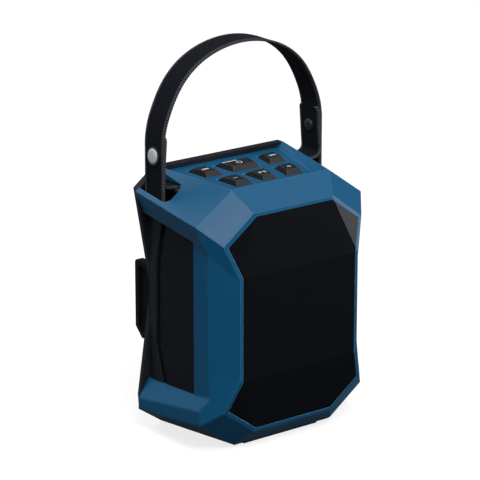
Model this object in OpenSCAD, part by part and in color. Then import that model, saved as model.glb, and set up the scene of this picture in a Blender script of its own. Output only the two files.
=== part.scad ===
// Cordless jobsite speaker: faceted two-part housing, folded mesh grille, six sprung keys,
// full-range driver, webbing carry strap and a slide-on battery dock at the back.
// Millimetres, +Z up, front towards -Y, origin at the middle of the footprint.

/* [Shell] */
// Width across the side ledges at the front corner facets
ledge_w = 116.8; // [114:0.2:124]
// Extra width across the side ledges at the rear edge
rear_flare = 3.8; // [2:0.2:6]
// Depth of the shell from the grille face to its rear edge
shell_d = 72; // [72:1:84]
// Height of the shell at its front corner facets
shell_h = 149.8; // [147:0.2:156]
// Rise of the top ridges from front to rear
ridge_rise = 2.6; // [1.6:0.1:4]
// Width of the top between the front corner facets
top_front_w = 68; // [66:0.5:70]
// Width of the top between the ridges at the rear
top_rear_w = 89; // [86:0.5:89.5]
// Width of the base at its rear edge
base_rear_w = 89; // [84:0.5:90]
// Depth of the corner facets at the top
top_setback = 18; // [16:0.2:20]
// Depth of the corner facets at the base
base_setback = 16; // [14:0.2:20]
// Height of the top chamfer at the front
top_chamfer_h = 17.4; // [15:0.2:19]
// Height of the base chamfer at the front
base_chamfer_h = 16.8; // [14:0.2:20]
// Wall thickness of the mouldings
wall = 2.2; // [1.6:0.1:2.4]

/* [Flank] */
// Overhang of the side ledges over the flanks
ledge_overhang = 4.6; // [4:0.1:5.2]
// Height of the upper ledge's sloping underside
upper_ledge_h = 10.8; // [9:0.2:13]
// Height of the lower ledge's upright band
lower_band_h = 7.4; // [5:0.2:9]
// Height of the lower ledge's sloping top
lower_slope_h = 7.2; // [5:0.2:9]
// Distance of the flank panels from the grille face
panel_front = 26.5; // [25:0.5:30]
// Thickness of the flank panels
panel_t = 2.4; // [1.6:0.1:2.8]
// Depth of the flank panels below the flank's face
panel_sink = 0.6; // [0.2:0.1:1]
// Width of the groove behind the flank panels
groove_w = 4.4; // [3:0.2:5]

/* [Grille] */
// Height of the flat middle of the front
front_flat_h = 60; // [50:1:66]
// Width of the front at its waist
front_waist_w = 83; // [80:0.5:86]
// Width of the front at its widest corners
front_wide_w = 96.4; // [94:0.2:99]
// Height between the widest corners of the front
front_wide_h = 96.4; // [92:0.2:100]
// Width of the front at its top and bottom edges
front_end_w = 54.6; // [50:0.2:58]
// Overall height of the front
front_h = 127.2; // [123:0.2:128]
// How far the front's end facets lean back
front_setback = 5.6; // [4.6:0.1:6]
// Width of the rim round the grille
rim_w = 1.6; // [1:0.1:2]
// Thickness of the grille sheet
grille_t = 1.2; // [0.8:0.1:1.4]
// Gap round the grille sheet
grille_gap = 0.2; // [0.1:0.05:0.4]

/* [Driver] */
// Outer radius of the driver's flange
driver_r = 33; // [32:0.5:35]
// Radius of the cone at its outer edge
cone_r = 23.2; // [22:0.2:23.6]
// Outer radius of the voice coil
coil_r = 10.2; // [9:0.1:10.6]
// Cone travel each way from rest
cone_travel = 1.5; // [0.8:0.1:1.6]
// Radius of the driver's magnet
magnet_r = 22.5; // [21:0.5:26]

/* [Keypad] */
// Drop from the shell's top edge to the front edge of the keypad floor
keypad_drop = 2.2; // [1.8:0.1:2.6]
// Rise of the keypad floor from its front edge to the shell's rear edge
keypad_rise = 2; // [1.4:0.1:2.4]
// Depth of the keypad floor from its front edge to the shell's rear edge
keypad_d = 45.5; // [44.5:0.5:47]
// Width of the keys at the floor, half way back
key_w = 12; // [11:0.1:13]
// Depth of the keys at the floor
key_d = 15.6; // [14:0.1:15.8]
// Width of the wide power key
power_key_w = 21.5; // [19:0.5:23]
// Lane between neighbouring keys
key_lane = 7; // [5:0.2:7.6]
// Sideways lean of the key sides for each millimetre towards the rear
key_fan = 0.16; // [0.02:0.02:0.2]
// Height of the key tops above the keypad floor
key_proud = 2.4; // [1.6:0.1:2.8]
// Key travel
key_travel = 0.8; // [0.4:0.1:1]
// Gap between a key and its window
key_gap = 0.35; // [0.25:0.05:0.5]

/* [Strap] */
// Width of the webbing
strap_w = 18; // [15:0.5:18]
// Thickness of the webbing
strap_t = 1.4; // [1.2:0.1:1.5]
// Height of the strap's outer face at the top of the arch
strap_top = 223; // [216:1:235]
// Radius of the strap's shoulders
shoulder_r = 52; // [46:0.5:54]
// Radius of the top of the strap's arch
arch_r = 64; // [61:0.5:72]
// Outer radius of the rivet caps
rivet_r = 5; // [3.5:0.1:6]
// Radius of the strap bars
bar_r = 1.5; // [1.2:0.1:1.6]

/* [Dock] */
// Width of the slot between the battery guards
dock_slot_w = 83; // [80:0.5:84]
// How far the battery guards stand out behind the rear housing
guard_d = 17.2; // [15:0.2:20]
// Height of the battery guards
guard_h = 46.5; // [40:0.5:52]
// Thickness of the battery guards
guard_t = 4.5; // [3.5:0.1:5]

/* [Feet] */
// How far the feet stand out under the base
foot_proud = 1.2; // [0.8:0.1:2]
// Depth of the feet inside the base
foot_sink = 0.8; // [0.4:0.1:1]

/* [Hidden] */
$fn = 48;

// Shared fits
fit = 0.25;
running = 0.3;
touch = 0.05;
seam = 0.2;
big = 600;

// Corner points of the right half, y counted from the grille face and z from the base
half_ledge = ledge_w / 2;
flare = rear_flare / 2 / (shell_d - top_setback);
ridge_z = shell_h + ridge_rise;
body_mid = [0, shell_d / 2, shell_h / 2];
front_z = shell_h / 2 - 0.9;
front_m = [front_waist_w / 2, 0, front_z + front_flat_h / 2];
front_u = [front_wide_w / 2, front_setback, front_z + front_wide_h / 2];
front_t = [front_end_w / 2, front_setback, front_z + front_h / 2];
front_l = [front_m.x, front_m.y, front_z - front_flat_h / 2];
front_b = [front_u.x, front_u.y, front_z - front_wide_h / 2];
front_e = [front_t.x, front_t.y, front_z - front_h / 2];
top_corner = [top_front_w / 2, top_setback, shell_h];
top_side = [half_ledge, top_setback, shell_h - top_chamfer_h];
top_rear = [top_rear_w / 2, shell_d, ridge_z];
base_corner = [top_front_w / 2, base_setback, 0];
base_rear = [base_rear_w / 2, shell_d, 0];

function left_of(p) = [-p.x, p.y, p.z];
function ledge_x(y) = half_ledge + (y - top_setback) * flare;
base_side = [ledge_x(base_setback), base_setback, base_chamfer_h];
function flank_x(y) = ledge_x(y) - ledge_overhang;
function outward(f) =
    let (n = cross(f[1] - f[0], f[2] - f[0]), u = n / norm(n))
    u * (body_mid - f[0]) > 0 ? -u : u;
function plane_z(f, x, y) =
    let (n = outward(f))
    f[0].z - (n.x * (x - f[0].x) + n.y * (y - f[0].y)) / n.z;

// Facets, each given by three of its corners. The facets round the front start a little outside
// its own corners, and the ledges a little below the chamfer, so no edge shrinks to nothing.
land = 0.3;
rim_t = front_t + [land, 0, land];
rim_u = front_u + [land, 0, land];
rim_e = front_e + [land, 0, -land];
rim_b = front_b + [land, 0, -land];
rim_m = front_m + [land, 0, 0];
rim_l = front_l + [land, 0, 0];
flare_drop = [0, 0, 0.5];
ledge_drop = [0, 0, 1];
face_slope = [rim_t, left_of(rim_t), top_corner];
face_under = [rim_e, left_of(rim_e), base_corner];
face_top = [top_corner, left_of(top_corner), top_rear];
face_front_upper = [front_m, left_of(front_m), front_t];
face_front_lower = [front_l, left_of(front_l), front_e];
face_corner_top = [rim_t + [land, 0, 0], rim_u, top_side];
face_corner_base = [rim_e + [land, 0, 0], rim_b, base_side];
face_chamfer_top = [top_corner, top_side, top_rear];
face_chamfer_base = [base_corner, base_side, base_rear];
face_front_ear_top = [front_m, front_u, front_t];
face_front_ear_base = [front_l, front_b, front_e];
face_side = [top_side, top_side - [0, 0, 20], [ledge_x(shell_d), shell_d, 0]];
front_faces = [face_front_upper, face_front_lower];
front_ears = [face_front_ear_top, face_front_ear_base];
middle_faces = [face_slope, face_under, face_top];
side_faces = [face_corner_top, face_corner_base, face_chamfer_top, face_chamfer_base, face_side];

// Flank: recessed between an upper and a lower ledge
ledge_rear_z = plane_z(face_chamfer_top, ledge_x(shell_d), shell_d);
upper_edge_z = top_side.z - upper_ledge_h;
lower_edge_z = base_side.z + lower_band_h + lower_slope_h;
lower_rear_drop = 3.4;
lower_rear_in = 0.5;
flank_front_x = flank_x(panel_front);
flank_q = [flank_x(base_setback), base_setback - 1.5, upper_edge_z - 5];
flank_k = [flank_front_x, panel_front, upper_edge_z];
face_flank = [flank_k, flank_k - [0, 0, 20], [flank_x(shell_d), shell_d, upper_edge_z]];
face_flank_low = [flank_k, flank_k - [0, 0, 20], [flank_front_x - lower_rear_in, shell_d, upper_edge_z]];
face_side_front = [rim_m, rim_l, flank_q];
face_flare_top = [rim_m + [land, 0, 0], rim_u + [land, 0, 0], top_side - flare_drop];
face_flare_base = [rim_l + [land, 0, 0], rim_b + [land, 0, 0], base_side + flare_drop];
face_ledge_under = [
    top_side - ledge_drop,
    [ledge_x(shell_d), shell_d, ledge_rear_z] - ledge_drop,
    flank_k
];
face_ledge_front = [top_side - ledge_drop, flank_q, flank_k];
face_ledge_top = [
    [flank_front_x, panel_front, lower_edge_z],
    [flank_front_x - lower_rear_in, shell_d, lower_edge_z - lower_rear_drop],
    [ledge_x(panel_front), panel_front, lower_edge_z - lower_slope_h]
];

// Flank window and the panel in it, as points along Y and Z
window_outline = [
    [panel_front, lower_edge_z],
    [panel_front, upper_edge_z],
    [shell_d + 2, plane_z(face_ledge_under, flank_x(shell_d), shell_d)],
    [shell_d + 2, lower_edge_z - lower_rear_drop]
];
panel_rear = shell_d - 12.7;
panel_end = panel_rear - 6.5;
panel_bend_up = 25;
panel_bend_down = 22;
panel_waist = [front_z - panel_bend_down, front_z + panel_bend_up];
panel_outline = [
    [panel_front - 1, 0],
    [panel_front - 1, ridge_z],
    [panel_end - 5, ridge_z],
    [panel_end, upper_edge_z + 3],
    [panel_rear - 0.7, panel_waist[1]],
    [panel_rear, panel_waist[0]],
    [panel_end, lower_edge_z - 2],
    [panel_end - 5, 0]
];
panel_x = flank_front_x - panel_sink;
liner_t = 2.2;
liner_x = panel_x - panel_t;

// Keypad
floor_z = shell_h - keypad_drop;
floor_rear_z = floor_z + keypad_rise;
floor_normal = [0, -keypad_rise, keypad_d];
floor_front_y = shell_d - keypad_d;
floor_front_x = top_corner.x - 6;
floor_rear_x = top_rear.x - 4.5;
keypad_lip = top_corner + [0, 2 * land, 0];
face_keypad_front = [keypad_lip, left_of(keypad_lip), [0, floor_front_y, floor_z]];
floor_front = [floor_front_x, floor_front_y, floor_z];
floor_rear = [floor_rear_x, shell_d, floor_rear_z];
function floor_at(y) = floor_z + keypad_rise * (y - floor_front_y) / keypad_d;
key_row_front = floor_front_y + 8.2;
key_row_pitch = key_d + 5.8;
key_pitch = key_w + key_lane;
power_pitch = (power_key_w + key_w) / 2 + key_lane;
key_taper = 2;
key_front_taper = 3;
key_rear_taper = 3.6;
key_skirt = 0.4;
key_flange = 1.2;
key_flange_t = 1;
key_flange_gap = 0.2;
under_floor_z = floor_z - wall;
key_flange_top = under_floor_z - key_flange_gap;
mat_gap = key_travel + 0.4;
mat_t = 1;
mat_top = key_flange_top - key_flange_t - mat_gap;
key_reach = power_pitch + key_w / 2 + key_fan * key_d / 2 + key_flange;
mat_w = 2 * key_reach;
switch_h = 2;
switch_w = 6;
board_t = 1.6;
control_top = mat_top - mat_t - switch_h;
control_front_y = floor_front_y - 1.5;
control_d = keypad_d - 2.5;
control_boss_r = 2.6;
control_boss_inset = 3.4;
control_w = 2 * (key_reach + 0.4 + control_boss_r + control_boss_inset);
small_screw_r = 1;
small_head_r = 2;
small_head_t = 1.2;
KEYS = [
    ["key_previous", -power_pitch, 1, key_w],
    ["key_power", 0, 1, power_key_w],
    ["key_next", power_pitch, 1, key_w],
    ["key_volume_down", -key_pitch, 0, key_w],
    ["key_play", 0, 0, key_w],
    ["key_volume_up", key_pitch, 0, key_w]
];
function key_y(row) = key_row_front + row * key_row_pitch;
// A key's outline at the floor about its row, with sides that lean out from the middle towards the rear
function key_side(x, y) = x + sign(x) * key_fan * y;
function key_outline(key, grow = 0) =
    let (left = key[1] - key[3] / 2 - grow, right = key[1] + key[3] / 2 + grow, rear = key_d / 2 + grow)
    [
        [key_side(left, -rear), -rear], [key_side(right, -rear), -rear],
        [key_side(right, rear), rear], [key_side(left, rear), rear]
    ];

// Baffle and driver, on an axis along Y
driver_z = front_z;
baffle_front = 9;
baffle_t = 3;
gasket_t = 0.8;
flange_t = 2;
flange_front = baffle_front - gasket_t - flange_t;
baffle_hole_r = driver_r - 4.4;
driver_screw_r = 1.25;
driver_screw_pcr = driver_r - 2.2;
driver_head_r = 2;
driver_head_t = 1.4;
basket_out = baffle_hole_r - 0.4;
basket_wall = 1.4;
basket_rear = baffle_front + 13;
basket_neck_r = coil_r + 8;
surround_step = 0.8;
surround_t = 0.6;
surround_seat_r = driver_r - 4.2;
roll_out = basket_out - basket_wall;
roll_in = cone_r + running;
roll_mid = (roll_out + roll_in) / 2;
roll_r = (roll_out - roll_in) / 2;
pole_gap = 0.45;
coil_wall = 0.6;
plate_t = 3.5;
magnet_t = 10;
yoke_t = 3.5;
magnet_front = basket_rear + plate_t;
yoke_front = magnet_front + magnet_t;
cone_wall = 0.6;
cone_front = flange_front + 0.6;
cone_d = 8.6;
cap_r = coil_r + 1.2;
cap_rise = 3;
coil_rear = magnet_front + cone_travel + 2;
spider_y = basket_rear - cone_travel - 2.1;
spider_t = 0.5;
spider_wave = 0.6;
spider_out = basket_neck_r + 0.6;

// Strap, pocket and bar
strap_x = half_ledge - 2;
strap_mid_y = shell_d - 12.3;
strap_front = strap_mid_y - strap_w / 2;
pocket_in = top_rear.x + 0.8;
pocket_wall = 2.2;
pocket_front = strap_front - 3.6;
pocket_depth = 17.6;
pocket_floor = shell_h - pocket_depth;
pocket_corner = 2.8;
loop_r = bar_r + 0.15 + strap_t / 2;
bar_x = pocket_in + 1.7;
bar_drop = 6.2;
bar_z = shell_h - bar_drop;
bar_seat = 2.6;
hollow_in = bar_x - loop_r - strap_t / 2 - 0.4;
hollow_top = bar_z + loop_r + strap_t / 2 + 0.3;
strap_mid_x = strap_x - strap_t / 2;
flap_mid_x = strap_mid_x - strap_t;
bend_r = 4.8;
flap_bend_r = 4;
bend_z = pocket_floor + bend_r + strap_t / 2 + 0.4;
arch_z = strap_top - arch_r;
shoulder_x = strap_x - shoulder_r;
shoulder_z = arch_z + sqrt(pow(arch_r - shoulder_r, 2) - pow(shoulder_x, 2));
flap_rise = 25.8;
flap_top = shell_h + flap_rise;
swing_z = flap_top + strap_w / 2 + 1;
leg_top = swing_z - 0.31 * strap_w;
rivet_rise = 13.8;
rivet_z = shell_h + rivet_rise;
rivet_cap_t = 1.4;
rivet_post_r = 1.5;
rivet_button_r = 3.6;
rivet_button_t = 1.6;

// Rear housing, dock and boards
rear_front = shell_d + seam;
rear_t = 4.8;
rear_face = rear_front + rear_t;
waist_x = flank_front_x - 2.1;
waist_rear_x = dock_slot_w / 2 + guard_t + 0.9;
waist_rise = 22;
waist_fall = 10.5;
waist_top_z = front_z + waist_rise;
waist_base_z = front_z - waist_fall;
waist_rear_top_z = front_z + 1.6;
waist_rear_base_z = front_z + 12.6;
waist_side_in = 0.4;
dock_t = 3;
dock_face = rear_face + dock_t;
total_d = rear_face + guard_d;
guard_base_z = 46.5;
guard_lip = 3;
guard_lip_t = 3.5;
guard_round = 6;
guard_channel = 2;
guard_rim = 3;
dock_base_z = 30;
dock_half_w = dock_slot_w / 2 + guard_t - guard_channel;
dock_top_z = guard_base_z + guard_h + 14;
dock_screw_x = dock_slot_w / 2 - 6;
dock_screw_z = [dock_base_z + 6, dock_top_z - 6];
block_w = 36;
block_h = 15;
block_d = 9;
blade_t = 0.8;
blade_w = 6;
blade_h = 10;
blade_pitch = 8;
boss_x = top_corner.x;
boss_rise = 5;
boss_drop = 23.2;
boss_z = [base_side.z + boss_rise, shell_h - boss_drop];
boss_r = 3.4;
screw_r = 1.5;
screw_head_r = 3;
screw_head_t = 2.4;
screw_grip = 14;
main_w = 68;
main_h = 74;
main_base_z = front_z - main_h / 2;
main_rear = rear_front - 7;
main_boss_r = 2.8;
capacitor_r = 4;
capacitor_h = 9;
capacitor_z = 18;
CAPACITORS = [-18, -6];
// Chips: place across and up the board, then width, depth and height
CHIPS = [
    [12, 26, 12, 1.6, 12],
    [-12, 40, 16, 2.4, 12],
    [14, 54, 18, 5, 9]
];
main_inset = 4;
foot_front_w = 53;
foot_rear_w = 76;
foot_d = 8;
foot_front_y = base_setback + 1;
foot_rear_y = shell_d - foot_d - 4;

// Moves a piece from the grille-face frame to the part's own frame
module placed() {
    translate([0, -total_d / 2, foot_proud]) children();
}

module both_sides() {
    children();
    mirror([1, 0, 0]) children();
}

// Extrudes a drawing in X and Z backwards from y
module along_y(y, depth) {
    translate([0, y + depth, 0]) rotate([90, 0, 0]) linear_extrude(depth) children();
}

// Extrudes a drawing in Y and Z outwards from x
module along_x(x, depth) {
    translate([x, 0, 0]) rotate([90, 0, 90]) linear_extrude(depth) children();
}

module rod_y(x, y, z, radius, depth) {
    translate([x, y, z]) rotate([-90, 0, 0]) cylinder(r = radius, h = depth);
}

module rod_x(x, y, z, radius, depth) {
    translate([x, y, z]) rotate([0, 90, 0]) cylinder(r = radius, h = depth);
}

module block_at(x, y, z, w, d, h) {
    translate([x - w / 2, y - d / 2, z]) cube([w, d, h]);
}

// Revolves a profile of (radius, y) points about the driver's axis
module about_driver(points) {
    translate([0, 0, driver_z]) rotate([-90, 0, 0]) rotate_extrude() polygon(points);
}

module driver_ring(inner, outer, y, depth) {
    about_driver([[inner, y], [outer, y], [outer, y + depth], [inner, y + depth]]);
}

module driver_screw_places() {
    for (a = [45 : 90 : 315])
        translate([driver_screw_pcr * cos(a), 0, driver_z + driver_screw_pcr * sin(a)]) children();
}

// Everything outside a facet's plane, with the plane moved in by inset
module beyond(face, inset = 0) {
    u = outward(face);
    translate(face[0] - inset * u) rotate([0, acos(u.z), atan2(u.y, u.x)])
        translate([-big / 2, -big / 2, 0]) cube(big);
}

module beyond_front(inset = 0) {
    translate([-big / 2, inset - big, -big / 2]) cube(big);
    for (face = front_faces) beyond(face, inset);
    both_sides() for (face = front_ears) beyond(face, inset);
}

module waist_cut(inset = 0) {
    intersection() {
        beyond(face_side_front, inset);
        beyond(face_flare_top, inset);
        beyond(face_flare_base, inset);
    }
}

module flank_cut(inset = 0) {
    intersection() {
        beyond(face_flank, inset);
        beyond(face_ledge_under, inset);
        beyond(face_ledge_front, inset);
        beyond(face_ledge_top, inset);
    }
    intersection() {
        beyond(face_flank_low, inset);
        beyond(face_ledge_top, inset);
        cube([big, big, front_z + inset]);
    }
}

// The shell's faceted form, every facet moved in by inset
module faceted_form(inset, front_y, rear_y) {
    difference() {
        translate([-ledge_w, front_y, inset])
            cube([2 * ledge_w, rear_y - front_y, ridge_z + 10]);
        for (face = middle_faces) beyond(face, inset);
        both_sides() {
            for (face = side_faces) beyond(face, inset);
            waist_cut(inset);
            flank_cut(inset);
        }
    }
}

// Outlines drawn in by inset on every edge
function edge_line(a, b, inset) =
    let (d = (b - a) / norm(b - a), n = [d.y, -d.x])
    [a + inset * n, d];
function meet(p, q) =
    let (c = p[1].x * q[1].y - p[1].y * q[1].x, w = q[0] - p[0])
    p[0] + p[1] * ((w.x * q[1].y - w.y * q[1].x) / c);
function drawn_in(points, inset) = [
    for (i = [0 : len(points) - 1])
        let (
            a = points[(i + len(points) - 1) % len(points)],
            b = points[i],
            c = points[(i + 1) % len(points)]
        )
        meet(edge_line(a, b, inset), edge_line(b, c, inset))
];
front_right = [front_t, front_u, front_m, front_l, front_b, front_e];
front_outline = [
    for (p = front_right) [p.x, p.z],
    for (i = [len(front_right) - 1 : -1 : 0]) [-front_right[i].x, front_right[i].z]
];

module front_prism(inset, y, depth) {
    along_y(y, depth) polygon(drawn_in(front_outline, inset));
}

// A sheet that follows the front's facets between two depths below them
module front_sheet(inset, from, to) {
    intersection() {
        difference() {
            front_prism(inset, 0, baffle_front);
            beyond_front(from);
        }
        beyond_front(to);
    }
}

grille_ledge = 2.4;
cloth_t = 0.5;
module grille_well() {
    intersection() {
        front_prism(rim_w, -1, baffle_front + 1);
        beyond_front(grille_t);
    }
    front_prism(rim_w + grille_ledge, -1, baffle_front + 1);
}

// One side wall of the keypad: a steep triangle at the floor and a flat one under the ridge
module keypad_side() {
    ridge_front = top_corner - [2 * land, 0, 0];
    ridge_rear = top_rear - [2 * land, 0, 0];
    a = cross(floor_rear - floor_front, ridge_rear - floor_front);
    b = cross(ridge_rear - floor_front, ridge_front - floor_front);
    difference() {
        translate([0, 0, floor_z - 1]) cube([big / 2, shell_d + 2, big / 2]);
        above(floor_front, a);
        above(floor_front, b);
    }
}

// Everything above the plane through p with normal n
module above(p, n) {
    u = (n.z > 0 ? n : -n) / norm(n);
    translate(p) rotate([0, acos(u.z), atan2(u.y, u.x)])
        translate([-big / 2, -big / 2, 0]) cube(big);
}

module keypad_recess() {
    difference() {
        intersection() {
            above(floor_front, floor_normal);
            beyond(face_keypad_front);
        }
        both_sides() keypad_side();
    }
}

module key_windows() {
    for (key = KEYS)
        translate([0, key_y(key[2]), under_floor_z - 1])
            linear_extrude(wall + keypad_rise + 4) polygon(key_outline(key, key_gap));
}

// Pocket in the top chamfer, hollowed under its inner edge for the strap's loop round the bar
module pocket(grow = 0) {
    c = pocket_corner;
    y0 = pocket_front - grow;
    y1 = shell_d + 2;
    x0 = pocket_in - grow;
    mouth = [
        [x0, y1], [x0, y0 + c], [x0 + c, y0],
        [ledge_x(y0) - pocket_wall - c, y0], [ledge_x(y0) - pocket_wall + grow, y0 + c],
        [ledge_x(y1) - pocket_wall + grow, y1]
    ];
    difference() {
        union() {
            translate([0, 0, pocket_floor - grow]) linear_extrude(ridge_z) polygon(mouth);
            translate([hollow_in - grow, strap_front - 0.4 - grow, pocket_floor - grow])
                cube([bar_x - hollow_in, strap_w + 6, hollow_top - pocket_floor + grow]);
        }
        beyond(face_ledge_under, pocket_wall - grow);
    }
}

module flank_window(inset, x, depth) {
    along_x(x, depth) polygon(drawn_in(window_outline, inset));
}

module boss_rods(radius, y, depth) {
    for (z = boss_z) rod_y(boss_x, y, z, radius, depth);
}

module control_columns(radius, z, h) {
    for (x = [-1, 1], y = [control_boss_inset, control_d - control_boss_inset])
        translate([x * (control_w / 2 - control_boss_inset), control_front_y + y, z])
            cylinder(r = radius, h = h);
}

module main_columns(radius, y, depth) {
    for (x = [-1, 1], z = [main_inset, main_h - main_inset])
        rod_y(x * (main_w / 2 - main_inset), y, main_base_z + z, radius, depth);
}

module dock_columns(radius, y, depth) {
    for (x = [-1, 1], z = dock_screw_z) rod_y(x * dock_screw_x, y, z, radius, depth);
}

module foot_block(w, y, grow = 0) {
    translate([-w / 2 - grow, y - grow, -foot_proud])
        cube([w + 2 * grow, foot_d + 2 * grow, foot_proud + foot_sink]);
}

module shell_cavity() {
    cavity_front = baffle_front + baffle_t;
    difference() {
        intersection() {
            faceted_form(wall, cavity_front, shell_d + 1);
            translate([-ledge_w, 0, 0]) cube([2 * ledge_w, shell_d + 2, under_floor_z]);
        }
        both_sides() {
            pocket(wall);
            rod_y(bar_x, pocket_front - bar_seat - 1.5, bar_z, bar_r + 1.6, bar_seat + 2);
            boss_rods(boss_r, 0, shell_d);
        }
        control_columns(control_boss_r, control_top, under_floor_z);
    }
}

module front_housing() {
    color("#155074") placed() difference() {
        faceted_form(0, 0, shell_d);
        beyond_front();
        shell_cavity();
        grille_well();
        rod_y(0, 0, driver_z, baffle_hole_r, baffle_front + baffle_t + 1);
        keypad_recess();
        key_windows();
        both_sides() {
            pocket();
            rod_y(bar_x, pocket_front - bar_seat, bar_z, bar_r + touch, bar_seat + pocket_corner);
            flank_window(land, liner_x - liner_t - 1, 10);
            boss_rods(screw_r + touch, shell_d - screw_grip, screw_grip + 1);
        }
        control_columns(small_screw_r + touch, control_top - 1, 6);
        driver_screw_places() rod_y(0, baffle_front - 1, 0, driver_screw_r + touch, baffle_t);
        foot_block(foot_front_w, foot_front_y, touch);
        foot_block(foot_rear_w, foot_rear_y, touch);
    }
}

rear_low_z = plane_z(face_chamfer_base, ledge_x(shell_d), shell_d);
rear_low_in = 2.6;
rear_low_rise = 7.4;
rear_side_x = ledge_x(shell_d) - waist_side_in;
rear_top_z = ledge_rear_z - waist_side_in;
// Bevel behind the lower corners, from the shell's rear edge to the plate's rear face
face_rear_low = [
    [rear_side_x, rear_front, rear_low_z],
    [ledge_x(shell_d) - rear_low_in, rear_face, rear_low_z + rear_low_rise],
    [base_rear.x - 2 * rear_low_in, rear_face, 0]
];
// Waist of the plate's sides, drawn in further at its rear face to clear the battery guards
waist_top = [waist_x, rear_front, waist_top_z];
waist_base = [waist_x, rear_front, waist_base_z];
waist_faces = [
    [[rear_side_x, rear_front, rear_top_z], waist_top, [waist_rear_x, rear_face, waist_rear_top_z]],
    [waist_top, waist_base, [waist_rear_x, rear_face, waist_rear_top_z]],
    [waist_base, [rear_side_x, rear_front, rear_low_z], [waist_rear_x, rear_face, waist_rear_base_z]]
];
rear_right = [
    [top_rear.x, ridge_z],
    [rear_side_x, rear_top_z],
    [rear_side_x, rear_low_z],
    [base_rear.x, 0]
];
rear_outline = [
    for (p = rear_right) p,
    for (i = [len(rear_right) - 1 : -1 : 0]) [-rear_right[i].x, rear_right[i].y]
];

// One flank wall of the rear housing, with the seat for the flank panel in its outer face
module rear_flank() {
    difference() {
        intersection() {
            flank_window(land + fit, 0, ledge_w);
            linear_extrude(ridge_z) polygon([
                [liner_x - liner_t, panel_front], [panel_x, panel_front],
                [panel_x, panel_rear + groove_w], [waist_x - 0.2, rear_front],
                [waist_x - 1.6, rear_front + 1], [liner_x - liner_t, rear_front + 1]
            ]);
        }
        along_x(liner_x, panel_t + 10) polygon(drawn_in(panel_outline, -groove_w));
    }
}

module rear_housing() {
    color("#1a1c1f") placed() difference() {
        union() {
            difference() {
                along_y(rear_front, rear_t) polygon(rear_outline);
                both_sides() intersection_for (face = waist_faces) beyond(face);
            }
            both_sides() rear_flank();
            main_columns(main_boss_r, main_rear, rear_front - main_rear + 1);
        }
        both_sides() {
            beyond(face_rear_low);
            boss_rods(screw_r + touch, rear_front - 1, rear_t + 2);
            boss_rods(screw_head_r + touch, rear_face - screw_head_t, screw_head_t + 1);
        }
        main_columns(small_screw_r + touch, main_rear - 1, 7);
        dock_columns(screw_r + touch, rear_face - rear_t + 1, rear_t);
    }
}

module flank_panel() {
    intersection() {
        flank_window(land + fit, liner_x, panel_t);
        along_x(liner_x, panel_t) polygon(panel_outline);
    }
}

module side_panel_right() {
    color("#202226") placed() flank_panel();
}

module side_panel_left() {
    color("#202226") placed() mirror([1, 0, 0]) flank_panel();
}

module speaker_grille() {
    color("#26282b") placed() front_sheet(rim_w + grille_gap, 0, grille_t);
}

module grille_cloth() {
    color("#101113") placed() front_sheet(rim_w + grille_ledge + grille_gap, grille_t, grille_t + cloth_t);
}

module driver_basket() {
    rear_of_flange = flange_front + flange_t;
    color("#2b2d30") placed() difference() {
        about_driver([
            [driver_r, flange_front], [driver_r, rear_of_flange], [basket_out, rear_of_flange],
            [basket_neck_r + basket_wall, basket_rear - basket_wall],
            [basket_neck_r + basket_wall, basket_rear], [coil_r + pole_gap, basket_rear],
            [coil_r + pole_gap, basket_rear - basket_wall], [basket_neck_r, basket_rear - basket_wall],
            [roll_out, rear_of_flange], [roll_out, flange_front + surround_step],
            [surround_seat_r, flange_front + surround_step], [surround_seat_r, flange_front]
        ]);
        for (a = [0 : 90 : 270])
            translate([0, 0, driver_z]) rotate([0, a, 0])
                translate([-7, rear_of_flange + 1.5, 0]) cube([14, basket_rear - rear_of_flange - 5, driver_r]);
        driver_screw_places() rod_y(0, 0, 0, driver_screw_r + touch, basket_rear);
    }
}

module driver_gasket() {
    color("#151515") placed() difference() {
        driver_ring(baffle_hole_r, driver_r, baffle_front - gasket_t, gasket_t);
        driver_screw_places() rod_y(0, 0, 0, driver_screw_r + touch, basket_rear);
    }
}

module driver_top_plate() {
    color("#9a9da0") placed() driver_ring(coil_r + pole_gap, basket_neck_r + basket_wall, basket_rear, plate_t);
}

module driver_magnet() {
    color("#3a3a3c") placed() driver_ring(coil_r + 3, magnet_r, magnet_front, magnet_t);
}

module driver_yoke() {
    color("#9a9da0") placed() {
        rod_y(0, basket_rear, driver_z, coil_r - coil_wall - pole_gap, yoke_front - basket_rear + 1);
        rod_y(0, yoke_front, driver_z, magnet_r - 2.5, yoke_t);
    }
}

// Half-roll in section, from the cone's edge to the basket's seat
module driver_surround() {
    seat = flange_front + surround_step;
    color("#18191b") placed() about_driver([
        for (a = [0 : 15 : 180]) [roll_mid - roll_r * cos(a), seat - roll_r * sin(a)],
        [surround_seat_r - touch, seat],
        [surround_seat_r - touch, seat - surround_t],
        [roll_out + 0.3, seat - surround_t],
        for (a = [165 : -15 : 15])
            [roll_mid - (roll_r + surround_t) * cos(a), seat - (roll_r + surround_t) * sin(a)],
        [roll_in, seat - surround_t]
    ]);
}

module driver_spider() {
    inner = coil_r + running;
    steps = 8;
    pitch = (spider_out - inner) / steps;
    color("#b98a45") placed() about_driver([
        for (i = [0 : steps]) [inner + i * pitch, spider_y + (i % 2 == 0 ? 0 : spider_wave)],
        for (i = [steps : -1 : 0])
            [inner + i * pitch, spider_y + spider_t + (i % 2 == 0 ? 0 : spider_wave)]
    ]);
}

cone_neck = [coil_r + touch, cone_front + cone_d];

module driver_cone() {
    color("#1c1d1f") placed() about_driver([
        [cone_r, cone_front], [cone_r, cone_front + cone_wall],
        [cone_neck[0] + 0.6, cone_neck[1]], [cone_neck[0], cone_neck[1]],
        [cone_neck[0], cone_neck[1] - 0.5], [cone_r - 1, cone_front]
    ]);
}

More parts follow.
